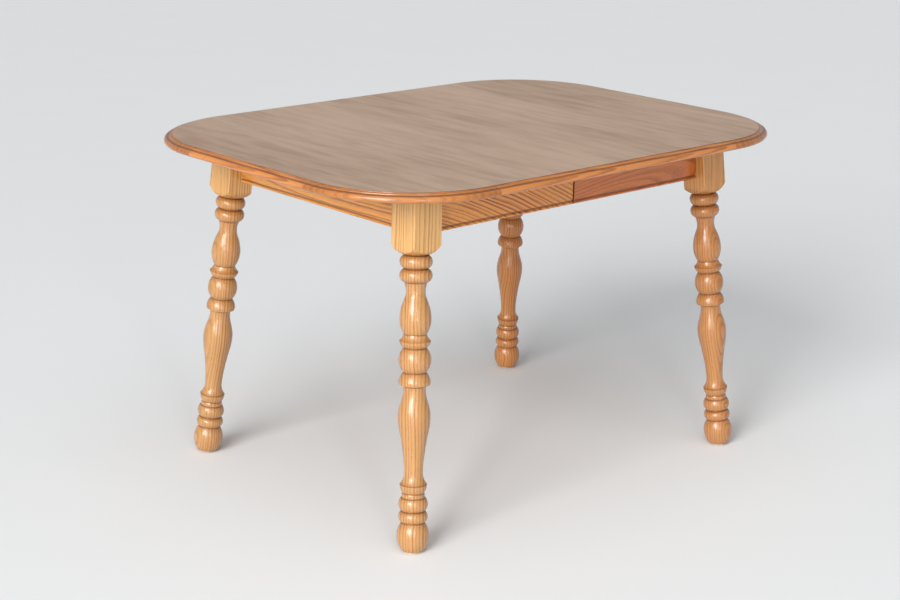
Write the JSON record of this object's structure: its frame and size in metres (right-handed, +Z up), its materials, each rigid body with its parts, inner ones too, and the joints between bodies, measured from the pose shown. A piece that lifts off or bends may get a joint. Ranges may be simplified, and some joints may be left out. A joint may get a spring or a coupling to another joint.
{
  "type": "extension dining table",
  "caption": "Dining table with a rounded laminate top, splayed turned legs and geared rails that let it open at the middle for a leaf.",
  "frame": {"origin": "on the floor at the centre of the closed table", "axes": "+X across the seam towards the half that slides, +Y from the front to the back, +Z up"},
  "size_m": [1.2192, 0.9142, 0.742],
  "materials": {
    "laminate_top": "satin wood-grain laminate",
    "core_board": "bare board",
    "edging_wood": "satin lacquer",
    "leg_wood": "satin lacquer",
    "apron_wood": "satin lacquer",
    "block_wood": "bare hardwood",
    "rail_wood": "bare hardwood, waxed",
    "dowel_wood": "bare hardwood",
    "gear_nylon": "moulded nylon",
    "glide_nylon": "moulded nylon",
    "screw_steel": "zinc plated",
    "zinc_steel": "zinc plated"
  },
  "bodies": {
    "fixed_half": {"left_top_core": "core_board", "left_laminate": "laminate_top", "left_end_edging": "edging_wood", "left_end_apron": "apron_wood", "left_hanger_bolts": "zinc_steel", "left_washers": "zinc_steel", "left_wing_nuts": "zinc_steel", "left_foot_glides": "glide_nylon", "left_wood_screws": "screw_steel", "left_front_edging": "edging_wood", "left_front_corner_edging": "edging_wood", "left_front_apron": "apron_wood", "left_front_leg": "leg_wood", "left_front_corner_block": "block_wood", "front_fixed_rail": "rail_wood", "front_fixed_rack": "gear_nylon", "front_lock_plate": "zinc_steel", "left_back_edging": "edging_wood", "left_back_corner_edging": "edging_wood", "left_back_apron": "apron_wood", "left_back_leg": "leg_wood", "left_back_corner_block": "block_wood", "back_fixed_rail": "rail_wood", "back_fixed_rack": "gear_nylon", "back_lock_plate": "zinc_steel"},
    "sliding_half": {"right_top_core": "core_board", "right_laminate": "laminate_top", "right_end_edging": "edging_wood", "right_end_apron": "apron_wood", "right_hanger_bolts": "zinc_steel", "right_washers": "zinc_steel", "right_wing_nuts": "zinc_steel", "right_foot_glides": "glide_nylon", "right_wood_screws": "screw_steel", "seam_dowels": "dowel_wood", "right_front_edging": "edging_wood", "right_front_corner_edging": "edging_wood", "right_front_apron": "apron_wood", "right_front_leg": "leg_wood", "right_front_corner_block": "block_wood", "front_moving_rail": "rail_wood", "front_moving_rack": "gear_nylon", "front_lock_keeper": "zinc_steel", "right_back_edging": "edging_wood", "right_back_corner_edging": "edging_wood", "right_back_apron": "apron_wood", "right_back_leg": "leg_wood", "right_back_corner_block": "block_wood", "back_moving_rail": "rail_wood", "back_moving_rack": "gear_nylon", "back_lock_keeper": "zinc_steel"},
    "front_middle_rail": {"front_middle_rail": "rail_wood"},
    "front_pinion": {"front_pinion": "gear_nylon"},
    "front_lock_lever": {"front_lock_lever": "zinc_steel"},
    "back_middle_rail": {"back_middle_rail": "rail_wood"},
    "back_pinion": {"back_pinion": "gear_nylon"},
    "back_lock_lever": {"back_lock_lever": "zinc_steel"}
  },
  "joints": [
    {"name": "table_slide", "type": "slide", "parent": "fixed_half", "child": "sliding_half", "axis": [1, 0, 0], "range_m": [0, 0.482]},
    {"name": "front_middle_rail_slide", "type": "slide", "parent": "fixed_half", "child": "front_middle_rail", "axis": [1, 0, 0], "range_m": [0, 0.241]},
    {"name": "front_pinion_turn", "type": "hinge", "parent": "front_middle_rail", "child": "front_pinion", "pos_m": [0, -0.1202, 0.693], "axis": [0, 0, 1], "range_deg": [-864.02, 0]},
    {"name": "front_lock_swing", "type": "hinge", "parent": "fixed_half", "child": "front_lock_lever", "pos_m": [-0.028, -0.2467, 0.7215], "axis": [0, 0, -1], "range_deg": [0, 90]},
    {"name": "back_middle_rail_slide", "type": "slide", "parent": "fixed_half", "child": "back_middle_rail", "axis": [1, 0, 0], "range_m": [0, 0.241]},
    {"name": "back_pinion_turn", "type": "hinge", "parent": "back_middle_rail", "child": "back_pinion", "pos_m": [0, 0.1202, 0.693], "axis": [0, 0, 1], "range_deg": [0, 864.02]},
    {"name": "back_lock_swing", "type": "hinge", "parent": "fixed_half", "child": "back_lock_lever", "pos_m": [-0.028, 0.2467, 0.7215], "axis": [0, 0, 1], "range_deg": [0, 90]}
  ],
  "couplings": [
    {"joint": "front_middle_rail_slide", "follows": "table_slide", "ratio": 0.5},
    {"joint": "front_pinion_turn", "follows": "table_slide", "rad_per_m": -31.25},
    {"joint": "back_middle_rail_slide", "follows": "table_slide", "ratio": 0.5},
    {"joint": "back_pinion_turn", "follows": "table_slide", "rad_per_m": 31.25}
  ]
}
